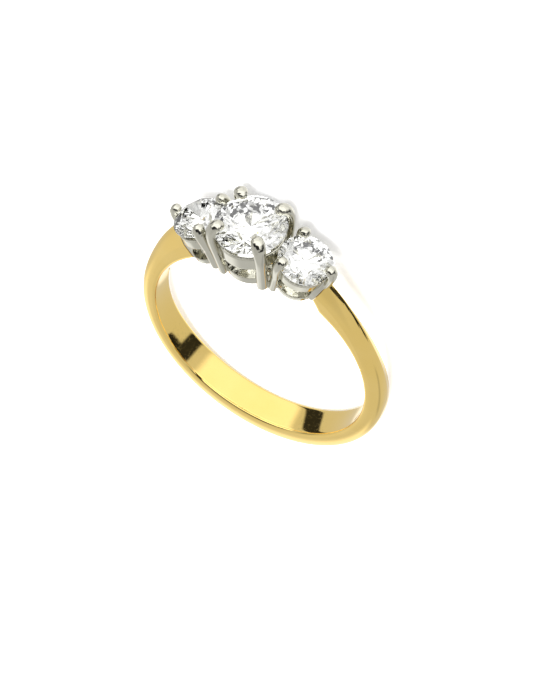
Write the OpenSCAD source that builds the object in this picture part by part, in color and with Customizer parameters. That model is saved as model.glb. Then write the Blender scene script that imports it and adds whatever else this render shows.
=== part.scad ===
// Three stone ring: a yellow gold band with a white metal claw head that
// holds three round brilliant diamonds, lying on its side as it would on a table.
// Everything is drawn upright first (finger axis along Y, head towards +Z, the
// centre of the finger hole at 0,0,0) and then laid down by lay().
// All sizes in millimetres.

/* [Finger] */
// Inside diameter of the band
finger_d = 17; // [16:0.1:18]
// Straight chamfered wall at the inner edges of the band
edge_h = 0.1; // [0.05:0.01:0.15]
// Width of the round wall in the finger hole
wall_w = 1.46; // [1.2:0.02:1.48]

/* [Centre stone] */
// Girdle diameter of the centre stone
centre_d = 5.18; // [4.8:0.02:5.2]
// Height of the centre girdle above the finger centre
centre_z = 12.5; // [12.4:0.05:12.8]

/* [Side stones] */
// Girdle diameter of each side stone
side_d = 3.88; // [3.7:0.02:3.9]
// Distance of a side girdle centre from the middle of the ring
side_x = 4.19; // [4.15:0.01:4.3]
// Height of a side girdle centre above the finger centre
side_z = 11.01; // [10.95:0.01:11.1]
// Outward lean of a side stone, in degrees
side_lean = 18.5; // [17:0.5:20]

/* [Brilliant cut] */
// Table size as a share of the girdle diameter
table_share = 0.57; // [0.53:0.01:0.62]
// Crown height as a share of the girdle diameter
crown_share = 0.15; // [0.13:0.005:0.16]
// Pavilion angle in degrees
pavilion_angle = 40.75; // [40:0.25:41.5]
// Girdle thickness as a share of the girdle diameter
girdle_share = 0.03; // [0.025:0.005:0.035]

/* [Joints] */
// Gap left between neighbouring pieces
gap = 0.03; // [0.02:0.01:0.05]
// Where the gold ends and the head begins, degrees from the foot of the band
end_phi = 147; // [146.5:0.1:147.2]
// Width of the solder pad under each outer claw
pad_w = 1.44; // [1.3:0.02:1.5]
// Thickness of that pad
pad_t = 0.45; // [0.35:0.01:0.5]

/* [Claws] */
// Width of a claw, as a multiple of its thickness
claw_flat = 1.3; // [1.1:0.05:1.4]

/* [Detail] */
// Degrees between two cross-sections of the band
band_step = 6; // [4:1:8]
// Facets round a rail of the head
rail_fn = 48; // [40:4:64]
// Facets round a claw
claw_fn = 10; // [10:2:12]

/* [Hidden] */

finger_r = finger_d / 2;

// Cross-sections of the band. phi runs from the foot of the band (0) to the
// head (180), equal on both sides.
//   [phi, flat width, width of the dome it is cut from, height of the dome, roundness,
//    how much lower the dome is on its far half]
BAND = [
    [  0, 2.61, 2.61, 1.95, 3.0, 0.00],
    [ 45, 2.50, 2.50, 1.62, 3.0, 0.00],
    [ 80, 2.19, 2.19, 1.36, 3.0, 0.05],
    [105, 1.90, 1.90, 1.38, 2.9, 0.20],
    [125, 1.69, 1.80, 1.72, 2.4, 0.29],
    [140, 1.57, 1.80, 2.38, 1.9, 0.32],
    [150, 1.50, 1.80, 2.95, 1.6, 0.32],
];

// Claw tables, in the frame of their basket, from the tip to the foot.
//   [distance from the stone's axis, height above the girdle, radius]
CENTRE_CLAW = [
    [2.10,  0.83, 0.31],
    [2.46,  0.80, 0.38],
    [2.74,  0.36, 0.37],
    [2.82, -0.35, 0.33],
    [2.58, -2.10, 0.31],
    [2.28, -3.85, 0.31],
];
SIDE_CLAW = [
    [1.72,  0.59, 0.28],
    [1.95,  0.53, 0.34],
    [2.11,  0.15, 0.33],
    [2.11, -0.40, 0.30],
    [1.95, -1.45, 0.27],
    [1.83, -2.90, 0.27],
];
// Directions of the claws round their stone, degrees from the outward side
CENTRE_DIRS = [45, 135, 225, 315];
SIDE_DIRS = [0, 127, 233];

// Rail tables: cross-section corners [distance from the axis, height]. The upper
// rail is a thin band under the girdle, the lower one a flat washer.
CENTRE_RAILS = [
    [[2.27, -0.64], [2.42, -0.70], [2.32, -1.98], [2.08, -1.96]],
    [[1.15, -3.28], [2.09, -3.24], [2.05, -3.86], [1.25, -3.70]],
];
SIDE_RAILS = [
    [[1.67, -0.43], [1.80, -0.46], [1.72, -1.36], [1.52, -1.34]],
    [[0.85, -2.58], [1.57, -2.54], [1.51, -3.00], [0.95, -2.90]],
];

// Straight-line look-up of column c of the band table at phi
function pick(phi, c) =
    let (a = min(abs(phi), 149.99),
         i = max([for (k = [0 : len(BAND) - 2]) if (BAND[k][0] <= a) k]),
         s = (a - BAND[i][0]) / (BAND[i + 1][0] - BAND[i][0]),
         e = s * s * (3 - 2 * s) * 0.35 + s * 0.65)
    BAND[i][c] + (BAND[i + 1][c] - BAND[i][c]) * e;

// Outer profile of the dome: height above the finger hole at y. Its far half, at
// positive y, falls away sooner.
function dome(phi, y) =
    let (n = pick(phi, 4), u = min(1, abs(y) / (pick(phi, 2) / 2)),
         s = y > 0 ? min(1, u / 0.45) : 0)
    edge_h + (pick(phi, 3) - edge_h) * pow(max(0, 1 - pow(u, n)), 1 / n)
    - pick(phi, 5) * s * s * (3 - 2 * s);

// The profile as [y, height] from the far side to the near side. Its inner line
// is a hair outside the round wall, which is turned and joined on.
steps = 12;
clear = 0.015;
function section(phi) =
    let (h = pick(phi, 1) / 2)
    concat([[-h, clear]],
           [for (k = [-steps : steps]) let (y = h * sin(90 * k / steps)) [y, dome(phi, y)]],
           [[h, clear]]);

function on_ring(phi, p) =
    [(finger_r + p[1]) * sin(phi), p[0], -(finger_r + p[1]) * cos(phi)];

module loft(rings) {
    m = len(rings);
    n = len(rings[0]);
    polyhedron(
        points = [for (r = rings) each r],
        faces = concat(
            [[for (j = [0 : n - 1]) j]],
            [for (i = [0 : m - 2]) for (j = [0 : n - 1]) let (k = (j + 1) % n) each
                [[i * n + j, (i + 1) * n + k, i * n + k],
                 [i * n + j, (i + 1) * n + j, (i + 1) * n + k]]],
            [[for (j = [n - 1 : -1 : 0]) (m - 1) * n + j]]),
        convexity = 6);
}

// Resting pose: the ring lies with its far side down, touching the surface with
// the centre girdle and the foot of the band.
foot_u = 0.3;
foot_r = finger_r + edge_h + foot_u * (BAND[0][3] - edge_h);
foot_y = BAND[0][1] / 2 * pow(1 - pow(foot_u, BAND[0][4]), 1 / BAND[0][4]);
girdle_y = centre_d / 2;
girdle_top = centre_z + girdle_share * centre_d / 2;
tilt = atan((girdle_y - foot_y) / (girdle_top + foot_r));
rest_z = foot_r * sin(tilt) + foot_y * cos(tilt);
tip_z = centre_z + 1.19;
tip_y = 1.74;
head_reach = tip_z * cos(tilt) + tip_y * sin(tilt);
foot_reach = (finger_r + BAND[0][3]) * cos(tilt);
rest_y = (head_reach - foot_reach) / 2;

module lay()
    translate([0, rest_y, rest_z]) rotate([-tilt, 0, 0]) rotate([90, 180, 0]) children();

// Frames of the three stones; s is +1 on the right and -1 on the left
module at_centre() translate([0, 0, centre_z]) children();
module at_side(s)
    translate([s * side_x, 0, side_z]) rotate([0, s * side_lean, 0]) children();

// ---------------------------------------------------------------- diamonds

// A round brilliant. Its facets are planes run a little past the girdle, which
// a cylinder then cuts, so the girdle is round and its edge is scalloped.
module brilliant(d) {
    r = d / 2 + 0.002;
    rt = r * table_share;
    g = girdle_share * d / 2;
    hc = crown_share * d;
    hp = r * tan(pavilion_angle);
    c = cos(22.5);
    ex = 0.021 * r;
    // meeting points of star and upper facets, and of main and lower facets
    rm = (rt * c + r) / 2;
    hm = hc * (r - rm * c) / (r - rt);
    rn = 0.23 * r;
    hn = hp * (r - rn * c) / r;
    // outward fall of the line in which two girdle facets meet at a main facet
    function fall(ra, ha) =
        let (G = [r, 0, 0], H = [r * c, r * sin(22.5), 0],
             M = [ra * c, ra * sin(22.5), ha], q = cross(H - G, M - G))
        q[0] / q[2];
    function polar(ra, a, h) = [ra * cos(a), ra * sin(a), h];
    function ring(ra, a0, h) = [for (k = [0 : 7]) polar(ra, 45 * k + a0, h)];
    pts = concat(
        ring(rt, 0, g + hc),                                 // T: table corners
        ring(rm, 22.5, g + hm),                              // M: star tips
        ring(r, 0, g),                                       // G: crown mains
        ring(r + ex, 0, g - fall(rm, hm) * ex),              // E: run past G
        ring(r + ex, 22.5, g - hm / (r - rm) * ex),          // H: between mains
        ring(r, 0, -g),                                      // P: pavilion mains
        ring(r + ex, 0, -g - fall(rn, -hn) * ex),            // F: run past P
        ring(r + ex, 22.5, -g + hn / (r - rn) * ex),         // Q: between mains
        ring(rn, 22.5, -g - hn),                             // N: lower tips
        [[0, 0, -g - hp]]);                                  // C: culet
    T = 0; M = 8; G = 16; E = 24; H = 32; P = 40; F = 48; Q = 56; N = 64; C = 72;
    faces = concat(
        [[for (k = [7 : -1 : 0]) T + k]],
        [for (k = [0 : 7]) let (n = (k + 1) % 8, j = (k + 7) % 8) each [
            [T + k, T + n, M + k],
            [T + k, M + k, G + k], [T + k, G + k, M + j],
            [M + k, H + k, E + k], [M + k, E + k, G + k],
            [M + k, G + n, E + n], [M + k, E + n, H + k],
            [E + k, H + k, Q + k], [E + k, Q + k, F + k],
            [H + k, E + n, F + n], [H + k, F + n, Q + k],
            [N + k, P + k, F + k], [N + k, F + k, Q + k],
            [N + k, Q + k, F + n], [N + k, F + n, P + n],
            [C, P + k, N + k], [C, N + j, P + k]]]);
    intersection() {
        polyhedron(points = pts, faces = faces, convexity = 4);
        cylinder(r = d / 2, h = 2 * d, center = true, $fn = 96);
    }
}

// Room for a stone: its outline turned round its axis, a gap larger
module stone_room(d) {
    r = d / 2 + gap;
    g = girdle_share * d / 2 + gap;
    hc = crown_share * d;
    rotate_extrude($fn = rail_fn)
        polygon([[0, -g - r * tan(pavilion_angle)], [r, -g], [r, g],
                 [r * table_share, g + hc], [0, g + hc]]);
}

// --------------------------------------------------------------- the head

// One claw: a flattened wire from the bent tip to the foot
module bead(row)
    translate([row[0], 0, row[1]]) scale([1, claw_flat, 1]) sphere(r = row[2], $fn = claw_fn);

module claw(table) {
    for (i = [0 : len(table) - 2])
        hull() { bead(table[i]); bead(table[i + 1]); }
}

module rails(list) {
    for (corners = list) rotate_extrude($fn = rail_fn) polygon(corners);
}

// Solder pad that the gold is joined to, under the outer claw: the end section of
// the band, carried on in white metal
module pad(s) {
    rotate([0, -s * end_phi, 0])
        multmatrix([[0, 0, s, s * gap], [1, 0, 0, 0], [0, -1, 0, -finger_r]])
            linear_extrude(height = pad_t)
                polygon([for (p = section(end_phi))
                         [p[0] * pad_w / pick(end_phi, 1), p[1] - gap]]);
}

// ------------------------------------------------------------- the pieces

module shank() {
    color("goldenrod")
    lay()
    difference() {
        union() {
            n = 2 * round(end_phi / band_step);
            loft([for (i = [0 : n]) let (phi = -end_phi + 2 * end_phi * i / n)
                  [for (p = section(phi)) on_ring(phi, p)]]);
            // true round wall of the finger hole
            rotate([90, 0, 0]) rotate([0, 0, -90 - end_phi + 0.3])
                rotate_extrude(angle = 2 * end_phi - 0.6, $fn = 180)
                    polygon([[finger_r, -wall_w / 2], [finger_r + 0.35, -wall_w / 2],
                             [finger_r + 0.35, wall_w / 2], [finger_r, wall_w / 2]]);
        }
        // oval hollow that fits round each outer claw
        for (s = [-1, 1]) at_side(s)
            translate([s * 1.773, 0, -3.4]) rotate([0, s * 6.5, 0]) linear_extrude(height = 4.4)
                polygon([for (k = [0 : 23]) [(0.30 + gap) * cos(15 * k),
                                             (0.30 * claw_flat + gap) * sin(15 * k)]]);
    }
}

module claw_setting() {
    color("gainsboro")
    lay()
    difference() {
        union() {
            at_centre() {
                for (a = CENTRE_DIRS) rotate([0, 0, a]) claw(CENTRE_CLAW);
                rails(CENTRE_RAILS);
            }
            for (s = [-1, 1]) {
                at_side(s) {
                    for (a = SIDE_DIRS) rotate([0, 0, s > 0 ? a : 180 - a]) claw(SIDE_CLAW);
                    rails(SIDE_RAILS);
                }
                pad(s);
            }
        }
        rotate([90, 0, 0]) cylinder(r = finger_r, h = 12, center = true, $fn = 180);
        at_centre() stone_room(centre_d);
        for (s = [-1, 1]) at_side(s) stone_room(side_d);
    }
}

module centre_stone() { color("white") lay() at_centre() brilliant(centre_d); }
module left_stone() { color("white") lay() at_side(-1) brilliant(side_d); }
module right_stone() { color("white") lay() at_side(1) brilliant(side_d); }

shank();
claw_setting();
centre_stone();
left_stone();
right_stone();
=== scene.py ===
"""Three stone ring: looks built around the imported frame. Units: metres in the
row frame; the ring's own drawing frame (mm, finger axis Y, head towards +Z) is
turned into it by ROW."""
import math

import bmesh
import bpy
import numpy as np
from mathutils import Matrix, Vector


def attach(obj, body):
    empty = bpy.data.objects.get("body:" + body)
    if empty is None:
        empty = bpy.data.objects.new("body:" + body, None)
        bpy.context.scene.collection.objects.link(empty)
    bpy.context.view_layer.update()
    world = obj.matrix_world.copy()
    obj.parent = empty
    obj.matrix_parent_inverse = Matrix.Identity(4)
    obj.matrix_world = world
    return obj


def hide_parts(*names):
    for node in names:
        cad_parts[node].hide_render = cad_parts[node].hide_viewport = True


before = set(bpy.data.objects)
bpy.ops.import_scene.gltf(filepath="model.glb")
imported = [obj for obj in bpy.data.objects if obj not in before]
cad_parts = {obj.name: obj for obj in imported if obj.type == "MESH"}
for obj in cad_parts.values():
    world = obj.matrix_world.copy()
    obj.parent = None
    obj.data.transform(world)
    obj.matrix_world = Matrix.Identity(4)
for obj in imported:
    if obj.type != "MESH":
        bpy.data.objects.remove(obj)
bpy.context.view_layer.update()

# ------------------------------------------------------------- shared sizes
FINGER_R = 8.5
EDGE_H = 0.1
CENTRE_D, CENTRE_Z = 5.18, 12.5
SIDE_D, SIDE_X, SIDE_Z, SIDE_LEAN = 3.88, 4.19, 11.01, 18.5
CROWN, TABLE, GIRDLE, PAVILION = 0.15, 0.57, 0.03, 40.75
# ends of the band, left and right; the right one is filed up a little on the finger side
ENDS = {-1: (147.0, 0.0), 1: (148.0, 0.65)}
LIFT_PHI = 142.0
# rounding of the edges of the finger hole
INNER_SOFT = 0.17
# the wall of the finger hole is a little convex across the band: its radius there
CROSS_R = 17.0
# phi, flat width, dome width, dome height, roundness, drop of the far half
BAND = np.array([
    [0, 2.61, 2.61, 1.95, 3.0, 0.0],
    [45, 2.50, 2.50, 1.62, 3.0, 0.0],
    [80, 2.19, 2.19, 1.36, 3.0, 0.05],
    [105, 1.90, 1.90, 1.38, 2.9, 0.20],
    [125, 1.69, 1.80, 1.72, 2.4, 0.29],
    [140, 1.57, 1.80, 2.38, 1.9, 0.32],
    [150, 1.50, 1.80, 2.95, 1.6, 0.32]])

# resting pose, as in the drawing
foot_r = FINGER_R + EDGE_H + 0.3 * (BAND[0][3] - EDGE_H)
foot_y = BAND[0][1] / 2 * (1 - 0.3 ** BAND[0][4]) ** (1 / BAND[0][4])
TILT = math.atan((CENTRE_D / 2 - foot_y) / (CENTRE_Z + GIRDLE * CENTRE_D / 2 + foot_r))
REST_Z = foot_r * math.sin(TILT) + foot_y * math.cos(TILT)
REST_Y = ((CENTRE_Z + 1.19) * math.cos(TILT) + 1.74 * math.sin(TILT)
          - (FINGER_R + BAND[0][3]) * math.cos(TILT)) / 2
LAY = np.array([[-1.0, 0, 0], [0, 0, -1.0], [0, -1.0, 0]])
TIP = np.array([[1, 0, 0],
                [0, math.cos(TILT), math.sin(TILT)],
                [0, -math.sin(TILT), math.cos(TILT)]])
ROW = TIP @ LAY
REST = np.array([0, REST_Y, REST_Z])


def to_row(points):
    """Ring frame in millimetres to row frame in metres."""
    return (np.asarray(points, float) @ ROW.T + REST) * 0.001


def mesh_object(name, verts, faces, smooth=True):
    mesh = bpy.data.meshes.new(name)
    mesh.from_pydata([tuple(v) for v in verts], [], [tuple(f) for f in faces])
    mesh.update()
    mesh.polygons.foreach_set("use_smooth", [smooth] * len(mesh.polygons))
    obj = bpy.data.objects.new(name, mesh)
    bpy.context.scene.collection.objects.link(obj)
    return obj


# ------------------------------------------------------------------ the band

def spline(x, xs, ys):
    """Smooth curve through the table's rows (natural cubic, even about x = 0)."""
    xs = np.concatenate([-xs[:0:-1], xs])
    ys = np.concatenate([ys[:0:-1], ys])
    n = len(xs)
    h = np.diff(xs)
    a = np.zeros((n, n))
    b = np.zeros(n)
    a[0, 0] = a[-1, -1] = 1
    for i in range(1, n - 1):
        a[i, i - 1], a[i, i], a[i, i + 1] = h[i - 1], 2 * (h[i - 1] + h[i]), h[i]
        b[i] = 3 * ((ys[i + 1] - ys[i]) / h[i] - (ys[i] - ys[i - 1]) / h[i - 1])
    c = np.linalg.solve(a, b)
    i = int(np.clip(np.searchsorted(xs, x) - 1, 0, n - 2))
    t = x - xs[i]
    slope = (ys[i + 1] - ys[i]) / h[i] - h[i] * (2 * c[i] + c[i + 1]) / 3
    return ys[i] + slope * t + c[i] * t * t + (c[i + 1] - c[i]) / (3 * h[i]) * t ** 3


def clustered(count):
    t = np.linspace(0, 1, count)
    return 0.55 * t + 0.45 * (0.5 - 0.5 * np.cos(math.pi * t))


def far_drop(u):
    """How much of the far half's drop is reached at u, from the ridge outwards."""
    s = np.clip(u / 0.45, 0, 1)
    return s * s * (3 - 2 * s)


def band_section(phi):
    """Closed profile [y, height], with every corner rounded, the inner ones most."""
    flat, width, high, n, drop = (spline(abs(phi), BAND[:, 0], BAND[:, k]) for k in (1, 2, 3, 4, 5))
    hw, high = flat / 2, high - 0.004
    # the finger side lifts off the round wall towards the end
    end, lift = ENDS[-1 if phi < 0 else 1]
    t = (abs(phi) - LIFT_PHI) / (end - LIFT_PHI)
    low = lift * 0.5 * (t + math.hypot(t, 0.1)) if t > -1 else 0.0
    # the dome, by angle so that the steep ends are drawn finely
    t = np.linspace(-1, 1, 601)
    y = hw * np.sin(math.pi / 2 * t)
    u = np.minimum(1, np.abs(y) / (width / 2))
    top = EDGE_H + (high - EDGE_H) * np.maximum(0, 1 - u ** n) ** (1 / n)
    top = top - max(0.0, drop) * far_drop(y / (width / 2))
    near, far = top[0], top[-1]
    flat_y = np.linspace(hw, -hw, 120)[1:-1]
    wall = low + flat_y ** 2 / (2 * CROSS_R)
    low += hw ** 2 / (2 * CROSS_R)
    rise, sink = np.linspace(low, near, 60)[1:-1], np.linspace(far, low, 60)[1:-1]
    poly = np.concatenate([
        [[-hw, low]], np.stack([np.full_like(rise, -hw), rise], 1),
        np.stack([y, top], 1),
        np.stack([np.full_like(sink, hw), sink], 1), [[hw, low]],
        np.stack([flat_y, wall], 1)])
    loop = np.vstack([poly, poly[:1]])
    run = np.concatenate([[0], np.cumsum(np.linalg.norm(np.diff(loop, axis=0), axis=1))])
    total = run[-1]
    marks = [0, near - low, 0, 0, total]
    marks[2] = run[len(rise) + len(y)]
    marks[3] = marks[2] + far - low
    # round the corners: blur along the outline
    count = 2400
    s = np.arange(count) * total / count
    even = np.stack([np.interp(s, run, loop[:, k]) for k in (0, 1)], 1)

    def blur(width_mm):
        sigma = width_mm / (total / count)
        reach = int(4 * sigma)
        kernel = np.exp(-0.5 * (np.arange(-reach, reach + 1) / sigma) ** 2)
        kernel /= kernel.sum()
        ring = np.concatenate([even[-reach:], even, even[:reach]])
        return np.stack([np.convolve(ring[:, k], kernel, "valid") for k in (0, 1)], 1)

    away = np.minimum(np.minimum(s, total - s), np.abs(s - marks[3]))
    w = np.clip((0.62 - away) / 0.3, 0, 1)
    w = (w * w * (3 - 2 * w))[:, None]
    soft = (1 - w) * blur(0.028) + w * blur(INNER_SOFT)
    places = []
    for start, end, points in ((marks[0], marks[1], 13), (marks[1], marks[2], 61),
                               (marks[2], marks[3], 13)):
        places.append(start + (end - start) * clustered(points)[:-1])
    places += [marks[3] + np.linspace(0, 0.4, 11)[:-1],
               np.linspace(marks[3] + 0.4, total - 0.4, 8)[:-1], total - np.linspace(0.4, 0, 11)[:-1]]
    places = np.concatenate(places)
    s2 = np.append(s, total)
    soft = np.vstack([soft, soft[:1]])
    return np.stack([np.interp(places, s2, soft[:, k]) for k in (0, 1)], 1)


def build_shank():
    step = 1.0
    span = ENDS[-1][0] + ENDS[1][0]
    phis = np.linspace(-ENDS[-1][0], ENDS[1][0], int(round(span / step)) + 1)
    sections = [band_section(p) for p in phis]
    n = len(sections[0])
    verts, faces = [], []
    for phi, sec in zip(phis, sections):
        a = math.radians(phi)
        r = FINGER_R + sec[:, 1]
        verts.append(np.stack([r * math.sin(a), sec[:, 0], -r * math.cos(a)], 1))
    m = len(phis)
    for i in range(m - 1):
        for j in range(n):
            k = (j + 1) % n
            faces.append((i * n + j, i * n + k, (i + 1) * n + k, (i + 1) * n + j))
    verts = np.concatenate(verts)
    faces.append(tuple(range(n - 1, -1, -1)))
    faces.append(tuple((m - 1) * n + j for j in range(n)))
    obj = mesh_object("gold_band", to_row(verts), faces)
    bm = bmesh.new()
    bm.from_mesh(obj.data)
    bmesh.ops.recalc_face_normals(bm, faces=bm.faces)
    bm.to_mesh(obj.data)
    bm.free()
    # the flat ends meet the sides at a crisp edge
    for face in obj.data.polygons:
        if len(face.vertices) > 4:
            face.use_smooth = False
            for i in face.loop_indices:
                obj.data.edges[obj.data.loops[i].edge_index].use_edge_sharp = True
    return obj


# ------------------------------------------------------------------ the head

# distance from the stone's axis, height above the girdle, radius
CENTRE_CLAW = [[2.07, 0.78, 0.30], [2.23, 0.815, 0.355], [2.44, 0.77, 0.37], [2.63, 0.58, 0.37],
               [2.75, 0.30, 0.36], [2.81, -0.10, 0.34], [2.80, -0.60, 0.32],
               [2.71, -1.30, 0.31], [2.57, -2.10, 0.31], [2.28, -3.85, 0.31]]
SIDE_CLAW = [[1.71, 0.58, 0.27], [1.81, 0.61, 0.31], [1.94, 0.53, 0.33], [2.05, 0.34, 0.33],
             [2.11, 0.08, 0.32], [2.12, -0.20, 0.305], [2.09, -0.55, 0.29],
             [2.02, -1.00, 0.28], [1.95, -1.45, 0.27], [1.83, -2.90, 0.27]]
CLAW_FLAT = 1.3
CENTRE_RAILS = [[[2.27, -0.64], [2.42, -0.70], [2.32, -1.98], [2.08, -1.96]],
                [[1.15, -3.28], [2.09, -3.24], [2.05, -3.86], [1.25, -3.70]]]
SIDE_RAILS = [[[1.67, -0.43], [1.80, -0.46], [1.72, -1.36], [1.52, -1.34]],
              [[0.85, -2.58], [1.57, -2.54], [1.51, -3.00], [0.95, -2.90]]]
# fine turned groove under the lip of each upper rail: distance, height, radius
CENTRE_GROOVE, SIDE_GROOVE = [2.425, -0.86, 0.055], [1.80, -0.60, 0.045]


def turn_z(deg):
    a = math.radians(deg)
    return np.array([[math.cos(a), -math.sin(a), 0], [math.sin(a), math.cos(a), 0], [0, 0, 1]])


def turn_y(deg):
    a = math.radians(deg)
    return np.array([[math.cos(a), 0, math.sin(a)], [0, 1, 0], [-math.sin(a), 0, math.cos(a)]])


BASKETS = {  # name: origin, frame, diameter
    "centre": (np.array([0, 0, CENTRE_Z]), np.eye(3), CENTRE_D),
    "right": (np.array([SIDE_X, 0, SIDE_Z]), turn_y(SIDE_LEAN), SIDE_D),
    "left": (np.array([-SIDE_X, 0, SIDE_Z]), turn_y(-SIDE_LEAN), SIDE_D)}


def fine_curve(table, count):
    """The claw's centre line and radius, through the table's rows (Catmull-Rom)."""
    p = np.array(table, float)
    p = np.vstack([2 * p[0] - p[1], p, 2 * p[-1] - p[-2]])
    seg = np.linalg.norm(np.diff(p[1:-1, :2], axis=0), axis=1)
    run = np.concatenate([[0], np.cumsum(seg)])
    out = []
    for s in np.linspace(0, run[-1], count):
        i = int(np.clip(np.searchsorted(run, s) - 1, 0, len(seg) - 1))
        t = (s - run[i]) / seg[i]
        a, b, c, d = p[i], p[i + 1], p[i + 2], p[i + 3]
        out.append(0.5 * (2 * b + (c - a) * t + (2 * a - 5 * b + 4 * c - d) * t * t
                          + (3 * b - a - 3 * c + d) * t ** 3))
    return np.array(out)


def smin(a, b, k):
    h = np.maximum(k - np.abs(a - b), 0) / k
    return np.minimum(a, b) - h * h * k * 0.25


def smax(a, b, k):
    return -smin(-a, -b, k)


class Chain:
    """A flattened wire of changing thickness along a fine flat line; across is the
    direction it is wider in."""

    def __init__(self, points, radii, across):
        self.p, self.r, self.t = points, radii, across
        reach = radii[:, None] * CLAW_FLAT
        self.lo = (points - reach).min(0)
        self.hi = (points + reach).max(0)

    def __call__(self, q):
        best = np.full(len(q), 1e3)
        q = q - np.outer((q - self.p[0]) @ self.t, self.t) * (1 - 1 / CLAW_FLAT)
        for i in range(len(self.p) - 1):
            a, b = self.p[i], self.p[i + 1]
            v = b - a
            w = q - a
            t = np.clip(w @ v / (v @ v), 0, 1)
            d = np.sqrt(((w - t[:, None] * v) ** 2).sum(1)) - (self.r[i] + t * (self.r[i + 1] - self.r[i]))
            np.minimum(best, d, out=best)
        return best


class Turned:
    """A convex outline [distance, height] turned round a basket's axis."""

    def __init__(self, basket, corners, soft, room=False, groove=None):
        self.o, self.f, _ = BASKETS[basket]
        self.groove = groove
        c = np.array(corners, float)
        area = 0.5 * sum(c[i][0] * c[(i + 1) % len(c)][1] - c[(i + 1) % len(c)][0] * c[i][1] for i in range(len(c)))
        if area < 0:
            c = c[::-1]
        self.c, self.soft, self.room = c, soft, room
        r, low, high = c[:, 0].max(), c[:, 1].min(), c[:, 1].max()
        box = np.array([[x, y, z] for x in (-r, r) for y in (-r, r) for z in (low, high)])
        box = box @ self.f.T + self.o
        self.lo, self.hi = box.min(0), box.max(0)

    def __call__(self, q):
        p = (q - self.o) @ self.f
        rho, h = np.hypot(p[:, 0], p[:, 1]), p[:, 2]
        d = None
        for i in range(len(self.c)):
            a, b = self.c[i], self.c[(i + 1) % len(self.c)]
            if self.room and a[0] < 1e-6 and b[0] < 1e-6:
                continue
            e = (b - a) / np.linalg.norm(b - a)
            side = (rho - a[0]) * e[1] - (h - a[1]) * e[0]
            d = side if d is None else smax(d, side, self.soft)
        if self.groove:
            far, level, radius = self.groove
            d = smax(d, radius - np.hypot(rho - far, h - level), 0.02)
        return d


class EndPlate:
    """Solder plate between the gold and the head: the band's end section, continued."""

    def __init__(self, side, low=0.03, high=0.50):
        end, lift = ENDS[side]
        self.f, self.side, self.low, self.high = turn_y(-side * end), side, low, high
        flat, width, top, n, drop = (spline(end, BAND[:, 0], BAND[:, k]) for k in (1, 2, 3, 4, 5))
        y = flat / 2 * np.sin(np.linspace(-math.pi / 2, math.pi / 2, 23)) * 0.98
        h = EDGE_H + (top - 0.03 - EDGE_H) * (1 - np.abs(y / (width / 2)) ** n) ** (1 / n)
        h = h - drop * far_drop(y / (width / 2))
        self.c = np.vstack([[[y[0], lift]], np.stack([y, h], 1), [[y[-1], lift]]])
        box = np.array([[side * t, a, -FINGER_R - b] for t in (low, high) for a in (y[0], y[-1])
                        for b in (lift, top)]) @ self.f.T
        self.lo, self.hi = box.min(0), box.max(0)

    def __call__(self, q):
        p = q @ self.f
        t, y, h = self.side * p[:, 0], p[:, 1], -p[:, 2] - FINGER_R
        d = smax(self.low - t, t - self.high, 0.05)
        section = None
        for i in range(len(self.c)):
            a, b = self.c[i], self.c[(i + 1) % len(self.c)]
            e = (b - a) / np.linalg.norm(b - a)
            out = (h - a[1]) * e[0] - (y - a[0]) * e[1]
            section = out if section is None else np.maximum(section, out)
        return smax(d, section, 0.06)


def room_corners(d, gap=0.012):
    r, g = d / 2 + gap, GIRDLE * d / 2 + gap
    return [[0, -g - r * math.tan(math.radians(PAVILION))], [r, -g], [r, g],
            [r * TABLE, g + CROWN * d], [0, g + CROWN * d]]


# claw directions in their basket, from the outward side, with small hand-made
# differences: (direction, shift outward)
CLAWS = {
    "centre": [(45, 0.0), (135, 0.02), (225, 0.0), (313.5, 0.0)],
    "right": [(0, 0.03), (126, 0.02), (231.5, 0.0)],
    "left": [(180, 0.0), (54, 0.05), (306.5, 0.02)]}


def head_parts():
    parts = []
    for name, claws in CLAWS.items():
        o, f, _ = BASKETS[name]
        table = CENTRE_CLAW if name == "centre" else SIDE_CLAW
        for direction, out in claws:
            line = fine_curve(table, 34)
            turn = f @ turn_z(direction)
            local = np.stack([line[:, 0] + out, 0 * line[:, 0], line[:, 1]], 1)
            parts.append(Chain(local @ turn.T + o, line[:, 2], turn[:, 1]))
    for name in BASKETS:
        upper, lower = CENTRE_RAILS if name == "centre" else SIDE_RAILS
        parts.append(Turned(name, upper, 0.05, groove=CENTRE_GROOVE if name == "centre" else SIDE_GROOVE))
        parts.append(Turned(name, lower, 0.07))
    for side in (-1, 1):
        parts.append(EndPlate(side))
    return parts


FILLET = 0.11


def head_field(q, parts, rooms, floor=1.0):
    """Signed distance to the head at points q, in millimetres."""
    f = np.full(len(q), floor)
    for part in parts:
        near = np.flatnonzero(((q > part.lo - 0.3) & (q < part.hi + 0.3)).all(1))
        if len(near):
            f[near] = smin(f[near], np.minimum(part(q[near]), floor), FILLET)
    for room in rooms:
        near = np.flatnonzero(((q > room.lo - 0.2) & (q < room.hi + 0.2)).all(1))
        if len(near):
            f[near] = smax(f[near], -room(q[near]), 0.03)
    return smax(f, FINGER_R - np.hypot(q[:, 0], q[:, 2]), 0.03)


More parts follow.
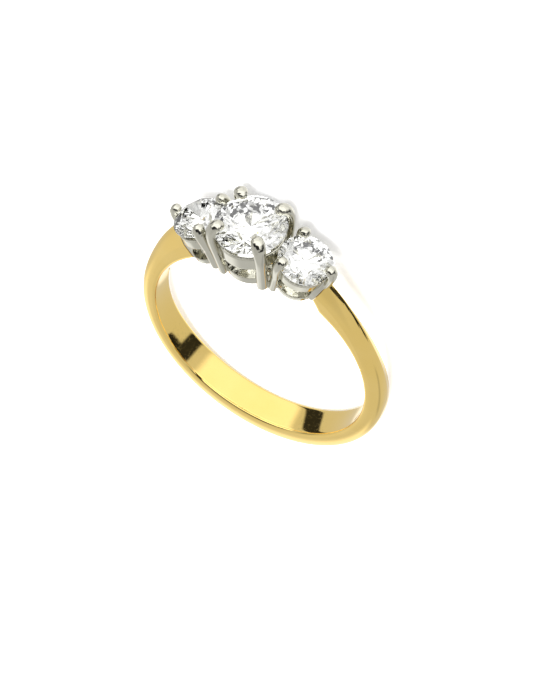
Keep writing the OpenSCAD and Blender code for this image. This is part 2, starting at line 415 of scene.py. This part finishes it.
def surface_nets(field, low, step):
    """Quads round the zero level of a grid of distances."""
    inside = field < 0
    nx, ny, nz = field.shape
    count = np.zeros((nx - 1, ny - 1, nz - 1), np.int8)
    for dx in (0, 1):
        for dy in (0, 1):
            for dz in (0, 1):
                count += inside[dx:nx - 1 + dx, dy:ny - 1 + dy, dz:nz - 1 + dz]
    cells = np.argwhere((count > 0) & (count < 8))
    index = -np.ones(count.shape, np.int64)
    index[tuple(cells.T)] = np.arange(len(cells))
    total = np.zeros((len(cells), 3))
    hits = np.zeros(len(cells))
    corners = [(x, y, z) for x in (0, 1) for y in (0, 1) for z in (0, 1)]
    for a in corners:
        for axis in range(3):
            if a[axis]:
                continue
            b = list(a)
            b[axis] = 1
            fa = field[tuple((cells + a).T)]
            fb = field[tuple((cells + b).T)]
            cut = (fa < 0) != (fb < 0)
            t = np.where(cut, fa / np.where(cut, fa - fb, 1), 0)
            place = np.array(a, float) + np.eye(3)[axis] * t[:, None]
            total[cut] += place[cut]
            hits[cut] += 1
    verts = low + (cells + total / hits[:, None]) * step
    quads = []
    for axis in range(3):
        u, v = [(1, 2), (2, 0), (0, 1)][axis]
        a = np.moveaxis(inside, axis, 0)[:-1]
        b = np.moveaxis(inside, axis, 0)[1:]
        edges = np.argwhere(a != b)
        full = np.zeros_like(edges)
        rest = [k for k in range(3) if k != axis]
        full[:, axis] = edges[:, 0]
        full[:, rest[0]] = edges[:, 1]
        full[:, rest[1]] = edges[:, 2]
        first = a[tuple(edges.T)]
        off = []
        for du, dv in ((-1, -1), (0, -1), (0, 0), (-1, 0)):
            c = full.copy()
            c[:, u] += du
            c[:, v] += dv
            off.append(index[tuple(c.T)])
        quad = np.stack(off, 1)
        quad[~first] = quad[~first][:, ::-1]
        quads.append(quad)
    return verts, np.concatenate(quads)


def fill_corners(field, depth):
    """Where the corners of a face of the grid are in and out by turns, one more is in,
    so no edge of the mesh has four faces."""
    for _ in range(6):
        found = 0
        for axis in range(3):
            f = np.moveaxis(field, axis, 2)
            low, right, up, far = f[:-1, :-1], f[1:, :-1], f[:-1, 1:], f[1:, 1:]
            for a, b, c, d in ((low, far, right, up), (right, up, low, far)):
                odd = (a < 0) & (b < 0) & (c >= 0) & (d >= 0)
                c[odd] = -depth
                found += int(odd.sum())
        if not found:
            break
    # and no single corner is left out with all those round it in
    core = field[1:-1, 1:-1, 1:-1]
    alone = core >= 0
    for axis in range(3):
        f = np.moveaxis(field, axis, 0)
        for beside in (f[:-2], f[2:]):
            alone &= np.moveaxis(beside[:, 1:-1, 1:-1], 0, axis) < 0
    core[alone] = -depth


def largest_piece(verts, quads):
    """The one solid, without specks of a few faces off it."""
    label = np.arange(len(verts))
    while True:
        least = label.copy()
        for k in range(4):
            a, b = quads[:, k], quads[:, (k + 1) % 4]
            np.minimum.at(least, a, label[b])
            np.minimum.at(least, b, label[a])
        least = least[least]
        if (least == label).all():
            break
        label = least
    quads = quads[label[quads[:, 0]] == np.bincount(label[quads[:, 0]]).argmax()]
    used = np.unique(quads)
    place = np.zeros(len(verts), np.int64)
    place[used] = np.arange(len(used))
    return verts[used], place[quads]


def build_head():
    parts = head_parts()
    rooms = [Turned(n, room_corners(BASKETS[n][2]), 0.02, True) for n in BASKETS]
    step = 0.060
    low = np.min([p.lo for p in parts], 0) - 3 * step
    high = np.max([p.hi for p in parts], 0) + 3 * step
    shape = np.ceil((high - low) / step).astype(int) + 1
    axes = [low[k] + step * np.arange(shape[k]) for k in range(3)]
    field = np.full(shape, 1.0, np.float32)
    # slab by slab, and only near something
    for i in range(0, shape[0], 12):
        xs = axes[0][i:i + 12]
        grid = np.stack(np.meshgrid(xs, axes[1], axes[2], indexing="ij"), -1).reshape(-1, 3)
        field[i:i + 12] = head_field(grid, parts, rooms).reshape(len(xs), shape[1], shape[2])
    fill_corners(field, 0.1 * step)
    verts, quads = largest_piece(*surface_nets(field, low, step))

    def slope(q):
        e = 0.004
        g = np.zeros_like(q)
        for k in range(3):
            d = np.zeros(3)
            d[k] = e
            g[:, k] = (head_field(q + d, parts, rooms) - head_field(q - d, parts, rooms)) / (2 * e)
        return g

    def settle(q, times):
        for _ in range(times):
            f = head_field(q, parts, rooms)
            g = slope(q)
            move = f[:, None] * g / np.maximum((g * g).sum(1), 0.2)[:, None]
            q = q - np.clip(move, -0.03, 0.03)
        return q

    edges = np.concatenate([quads[:, [k, (k + 1) % 4]] for k in range(4)])
    for _ in range(2):
        verts = settle(verts, 1)
        total = np.zeros_like(verts)
        many = np.zeros(len(verts))
        for a, b in ((0, 1), (1, 0)):
            np.add.at(total, edges[:, a], verts[edges[:, b]])
            np.add.at(many, edges[:, a], 1)
        verts = 0.5 * verts + 0.5 * total / many[:, None]
    verts = settle(verts, 2)
    normals = slope(verts)
    normals /= np.maximum(np.linalg.norm(normals, axis=1), 1e-9)[:, None]
    obj = mesh_object("claw_head", to_row(verts), quads)
    obj.data.normals_split_custom_set_from_vertices([tuple(n) for n in normals @ ROW.T])
    return obj


# ------------------------------------------------------------------ materials

def new_material(name):
    mat = bpy.data.materials.new(name)
    mat.use_nodes = True
    nt = mat.node_tree
    bsdf = next(n for n in nt.nodes if n.type == "BSDF_PRINCIPLED")
    return mat, nt, bsdf


def node(nt, kind, **values):
    n = nt.nodes.new(kind)
    for key, value in values.items():
        if key in n.inputs:
            n.inputs[key].default_value = value
        else:
            setattr(n, key, value)
    return n


def polished_metal(name, light, deep, rough_low, rough_high, scratch):
    """Polished metal: slight colour drift, patchy polish, hairline scratches."""
    mat, nt, bsdf = new_material(name)
    L = nt.links.new
    coord = node(nt, "ShaderNodeTexCoord")
    drift = node(nt, "ShaderNodeTexNoise", Scale=380.0, Detail=3.0)
    L(coord.outputs["Object"], drift.inputs["Vector"])
    ramp = node(nt, "ShaderNodeValToRGB")
    ramp.color_ramp.elements[0].position = 0.35
    ramp.color_ramp.elements[0].color = (*deep, 1)
    ramp.color_ramp.elements[1].position = 0.65
    ramp.color_ramp.elements[1].color = (*light, 1)
    L(drift.outputs["Fac"], ramp.inputs["Fac"])
    L(ramp.outputs["Color"], bsdf.inputs["Base Color"])
    bsdf.inputs["Metallic"].default_value = 1.0
    # polish
    patch = node(nt, "ShaderNodeTexNoise", Scale=900.0, Detail=5.0, Roughness=0.6)
    L(coord.outputs["Object"], patch.inputs["Vector"])
    span = node(nt, "ShaderNodeMapRange")
    span.inputs["To Min"].default_value = rough_low
    span.inputs["To Max"].default_value = rough_high
    L(patch.outputs["Fac"], span.inputs["Value"])
    L(span.outputs["Result"], bsdf.inputs["Roughness"])
    # hairlines: noise stretched two ways
    heights = []
    for angle, scale in (((0.3, 0.2, 0.9), (900, 9000, 9000)), ((1.1, 0.5, 0.1), (11000, 800, 11000))):
        m = node(nt, "ShaderNodeMapping")
        m.inputs["Rotation"].default_value = angle
        m.inputs["Scale"].default_value = scale
        L(coord.outputs["Object"], m.inputs["Vector"])
        t = node(nt, "ShaderNodeTexNoise", Scale=1.0, Detail=2.0)
        L(m.outputs["Vector"], t.inputs["Vector"])
        line = node(nt, "ShaderNodeMapRange", interpolation_type="SMOOTHSTEP")
        line.inputs["From Min"].default_value = 0.66
        line.inputs["From Max"].default_value = 0.72
        L(t.outputs["Fac"], line.inputs["Value"])
        heights.append(line)
    add = node(nt, "ShaderNodeMath", operation="ADD")
    L(heights[0].outputs["Result"], add.inputs[0])
    L(heights[1].outputs["Result"], add.inputs[1])
    bump = node(nt, "ShaderNodeBump", Strength=scratch, Distance=0.00001)
    bump.invert = True
    L(add.outputs["Value"], bump.inputs["Height"])
    L(bump.outputs["Normal"], bsdf.inputs["Normal"])
    return mat


def diamond_material(name, axis):
    """Clear faceted stone; the girdle, whose faces stand along the stone's axis, is
    a little less polished than the facets."""
    mat, nt, bsdf = new_material(name)
    L = nt.links.new
    bsdf.inputs["Transmission Weight"].default_value = 1.0
    bsdf.inputs["IOR"].default_value = 2.417
    geo = node(nt, "ShaderNodeNewGeometry")
    dot = node(nt, "ShaderNodeVectorMath", operation="DOT_PRODUCT")
    L(geo.outputs["True Normal"], dot.inputs[0])
    dot.inputs[1].default_value = tuple(ROW @ axis)
    size = node(nt, "ShaderNodeMath", operation="ABSOLUTE")
    L(dot.outputs["Value"], size.inputs[0])
    edge = node(nt, "ShaderNodeMapRange")
    edge.inputs["From Min"].default_value = 0.05
    edge.inputs["From Max"].default_value = 0.12
    edge.inputs["To Min"].default_value = 0.16
    edge.inputs["To Max"].default_value = 0.0
    L(size.outputs["Value"], edge.inputs["Value"])
    coord = node(nt, "ShaderNodeTexCoord")
    spots = node(nt, "ShaderNodeTexNoise", Scale=2600.0, Detail=2.0)
    L(coord.outputs["Object"], spots.inputs["Vector"])
    worn = node(nt, "ShaderNodeMapRange")
    worn.inputs["From Min"].default_value = 0.5
    worn.inputs["From Max"].default_value = 0.9
    worn.inputs["To Min"].default_value = 0.02
    worn.inputs["To Max"].default_value = 0.04
    L(spots.outputs["Fac"], worn.inputs["Value"])
    add = node(nt, "ShaderNodeMath", operation="ADD")
    L(edge.outputs["Result"], add.inputs[0])
    L(worn.outputs["Result"], add.inputs[1])
    L(add.outputs["Value"], bsdf.inputs["Roughness"])
    tint = node(nt, "ShaderNodeValToRGB")
    tint.color_ramp.elements[0].color = (0.985, 0.99, 0.96, 1)
    tint.color_ramp.elements[1].color = (0.995, 1.0, 0.975, 1)
    L(spots.outputs["Fac"], tint.inputs["Fac"])
    L(tint.outputs["Color"], bsdf.inputs["Base Color"])
    return mat


# ------------------------------------------------------------------ assembly

gold = polished_metal("yellow_gold", (0.965, 0.71, 0.245), (0.945, 0.685, 0.22), 0.03, 0.06, 0.12)
white = polished_metal("white_gold", (0.645, 0.63, 0.54), (0.615, 0.60, 0.51), 0.03, 0.06, 0.12)

shank = build_shank()
shank.data.materials.append(gold)
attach(shank, "root")
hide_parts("shank")

head = build_head()
head.data.materials.append(white)
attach(head, "root")
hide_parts("claw_setting")

for name, basket in (("centre_stone", "centre"), ("left_stone", "left"), ("right_stone", "right")):
    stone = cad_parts[name]
    mat = diamond_material("diamond_" + basket, BASKETS[basket][1] @ np.array([0, 0, 1.0]))
    stone.data.materials.clear()
    stone.data.materials.append(mat)
    stone.data.polygons.foreach_set("use_smooth", [False] * len(stone.data.polygons))
    if stone.data.has_custom_normals:
        stone.data.attributes.remove(stone.data.attributes["custom_normal"])
    stone.data.update()

# ------------------------------------------------------------------ the stage

floor = mesh_object("floor", [(-3, -3, 0), (3, -3, 0), (3, 3, 0), (-3, 3, 0)], [(0, 1, 2, 3)], False)
mat, nt, bsdf = new_material("pale_floor")
coord = node(nt, "ShaderNodeTexCoord")
cloud = node(nt, "ShaderNodeTexNoise", Scale=40.0, Detail=3.0)
nt.links.new(coord.outputs["Object"], cloud.inputs["Vector"])
shade = node(nt, "ShaderNodeMapRange")
shade.inputs["To Min"].default_value = 0.90
shade.inputs["To Max"].default_value = 0.92
nt.links.new(cloud.outputs["Fac"], shade.inputs["Value"])
nt.links.new(shade.outputs["Result"], bsdf.inputs["Base Color"])
bsdf.inputs["Roughness"].default_value = 0.9
# lit a little from below, as a light table is, so the shadow stays faint
bsdf.inputs["Emission Strength"].default_value = 0.34
floor.data.materials.append(mat)


# The floor isn't mirrored in the metal: the studio below the horizon is.
floor.visible_glossy = False

# A pale tent with a bright window in front under a dark valance, a softer window
# behind, and the two dark posts of the front window. Each line: middle azimuth
# (0 is -Y, 90 is +X), lowest and highest elevation, half width, softness in
# degrees, strength, and degrees of azimuth that it leans for each one of elevation.
TENT = 0.70
CARDS = [
    (0, 62, 90, 360, 6, 0.62),
    (0, -90, -52, 360, 7, 1.10),
    (-155, -90, -48, 32, 5, 1.45),
    (-141, 2, 17, 20, 6, 0.52),
    (135, 10, 45, 22, 12, 0.80),
    (158, -38, 20, 25, 7, 1.20),
    (-6, -48, 30, 52, 5, 1.30),
    (-6, -12, 31, 54, 3, 1.70),
    (-10, 34, 68, 66, 3, 0.03),
    (70, 12, 40, 9, 4, 0.30),
    (-80, -42, 12, 8.5, 2.0, 0.03),
    (-92, -26.8, 0, 4.5, 1.2, 0.02),
    (-98, -26.8, -14, 4.5, 1.2, 0.02),
    (-101.5, -26.8, -19, 4.0, 1.2, 0.02),
    (68, -42, -10, 11.0, 2.0, 0.03, 0.6),
]
CALM = (0.25, 0.74)
world = bpy.data.worlds.new("studio")
world.use_nodes = True
bpy.context.scene.world = world
nt = world.node_tree
nt.nodes.clear()
L = nt.links.new


def maths(operation, *inputs, clamp=False):
    n = node(nt, "ShaderNodeMath", operation=operation, use_clamp=clamp)
    for socket, value in zip(n.inputs, inputs):
        if isinstance(value, (int, float)):
            socket.default_value = value
        else:
            L(value, socket)
    return n.outputs[0]


def fall(value, limit, soft):
    """1 below limit, 0 above it, smooth between."""
    m = node(nt, "ShaderNodeMapRange", interpolation_type="SMOOTHSTEP")
    m.inputs["From Min"].default_value = limit + soft
    m.inputs["From Max"].default_value = limit - soft
    L(value, m.inputs["Value"])
    return m.outputs["Result"]


out = node(nt, "ShaderNodeOutputWorld")
coord = node(nt, "ShaderNodeTexCoord")
split = node(nt, "ShaderNodeSeparateXYZ")
L(coord.outputs["Generated"], split.inputs[0])
height = maths("MULTIPLY", maths("ARCSINE", split.outputs["Z"]), 180 / math.pi)
level = None
for az, low, high, half, soft, strength, *lean in CARDS:
    a = math.radians(az)
    along = maths("ADD", maths("MULTIPLY", split.outputs["X"], math.sin(a)),
                  maths("MULTIPLY", split.outputs["Y"], -math.cos(a)))
    across = maths("ADD", maths("MULTIPLY", split.outputs["X"], math.cos(a)),
                   maths("MULTIPLY", split.outputs["Y"], math.sin(a)))
    turn = maths("MULTIPLY", maths("ARCTAN2", across, along), 180 / math.pi)
    for share in lean:
        turn = maths("SUBTRACT", turn, maths("MULTIPLY", maths("SUBTRACT", height, (low + high) / 2), share))
    turn = maths("ABSOLUTE", turn)
    mask = maths("MULTIPLY", fall(height, high, soft), maths("SUBTRACT", 1.0, fall(height, low, soft)))
    mask = maths("MULTIPLY", mask, fall(turn, half, soft))
    mix = node(nt, "ShaderNodeMix", data_type="FLOAT")
    L(mask, mix.inputs[0])
    if level is None:
        mix.inputs[2].default_value = TENT
    else:
        L(level, mix.inputs[2])
    mix.inputs[3].default_value = strength
    level = mix.outputs[0]
path = node(nt, "ShaderNodeLightPath")
# the floor and what the stones let through are lit evenly
calm = node(nt, "ShaderNodeMix", data_type="FLOAT")
L(maths("MAXIMUM", path.outputs["Is Transmission Ray"], path.outputs["Is Diffuse Ray"]), calm.inputs[0])
L(level, calm.inputs[2])
L(maths("ADD", maths("MULTIPLY", level, CALM[0]), CALM[1]), calm.inputs[3])
studio = node(nt, "ShaderNodeBackground")
studio.inputs["Color"].default_value = (1, 1, 1, 1)
L(calm.outputs[0], studio.inputs["Strength"])
plain = node(nt, "ShaderNodeBackground")
plain.inputs["Color"].default_value = (1, 1, 1, 1)
plain.inputs["Strength"].default_value = 1.0
pick = node(nt, "ShaderNodeMixShader")
L(path.outputs["Is Camera Ray"], pick.inputs["Fac"])
L(studio.outputs[0], pick.inputs[1])
L(plain.outputs[0], pick.inputs[2])
L(pick.outputs[0], out.inputs["Surface"])

# a dark flag beside the head, seen only in the metal: the crescents under the caps
flag = mesh_object("dark_flag", [(-0.020, -0.0130, 0.003), (-0.020, -0.0078, 0.003),
                                 (-0.020, -0.0078, 0.034), (-0.020, -0.0130, 0.034)], [(0, 1, 2, 3)], False)
dark, dark_nt, dark_bsdf = new_material("dark_cloth")
weave = node(dark_nt, "ShaderNodeTexNoise", Scale=900.0, Detail=2.0)
weft = node(dark_nt, "ShaderNodeMapRange")
weft.inputs["To Min"].default_value = 0.01
weft.inputs["To Max"].default_value = 0.03
dark_nt.links.new(weave.outputs["Fac"], weft.inputs["Value"])
dark_nt.links.new(weft.outputs["Result"], dark_bsdf.inputs["Base Color"])
dark_bsdf.inputs["Roughness"].default_value = 0.9
flag.data.materials.append(dark)
flag.visible_camera = flag.visible_diffuse = flag.visible_shadow = flag.visible_transmission = False

# overhead soft light for the floor
lamp_data = bpy.data.lights.new("overhead", "AREA")
lamp_data.shape = "DISK"
lamp_data.size = 0.9
lamp_data.energy = 12.0
lamp = bpy.data.objects.new("overhead", lamp_data)
lamp.location = (0, 0, 0.8)
lamp.visible_glossy = False
lamp.visible_transmission = False
lamp.visible_camera = False
bpy.context.scene.collection.objects.link(lamp)

# ------------------------------------------------------------------ the camera

cam_data = bpy.data.cameras.new("camera")
cam = bpy.data.objects.new("camera", cam_data)
bpy.context.scene.collection.objects.link(cam)
CAM_POS = np.array([91.293, -124.391, 196.707])
CAM_X = np.array([0.86001474, 0.50417267, -0.07864199])
CAM_Y = np.array([-0.35829365, 0.70639272, 0.61043836])
CAM_Z = np.array([0.36331847, -0.49680906, 0.78815001])
axes = np.stack([ROW @ CAM_X, ROW @ CAM_Y, ROW @ CAM_Z], 1)
pose = Matrix.Identity(4)
for r in range(3):
    for c in range(3):
        pose[r][c] = axes[r, c]
    pose[r][3] = to_row(CAM_POS)[r]
cam.matrix_world = pose
cam_data.sensor_width = 36
cam_data.sensor_fit = "AUTO"
cam_data.lens = 3540.797 * 36 / 690
cam_data.clip_start = 0.01
cam_data.clip_end = 20
bpy.context.scene.camera = cam

scene = bpy.context.scene
scene.view_settings.view_transform = "Standard"
scene.cycles.max_bounces = 24
scene.cycles.transmission_bounces = 20
scene.cycles.glossy_bounces = 6
scene.cycles.transparent_max_bounces = 8
scene.cycles.sample_clamp_indirect = 8
scene.cycles.use_denoising = True

bpy.context.view_layer.update()
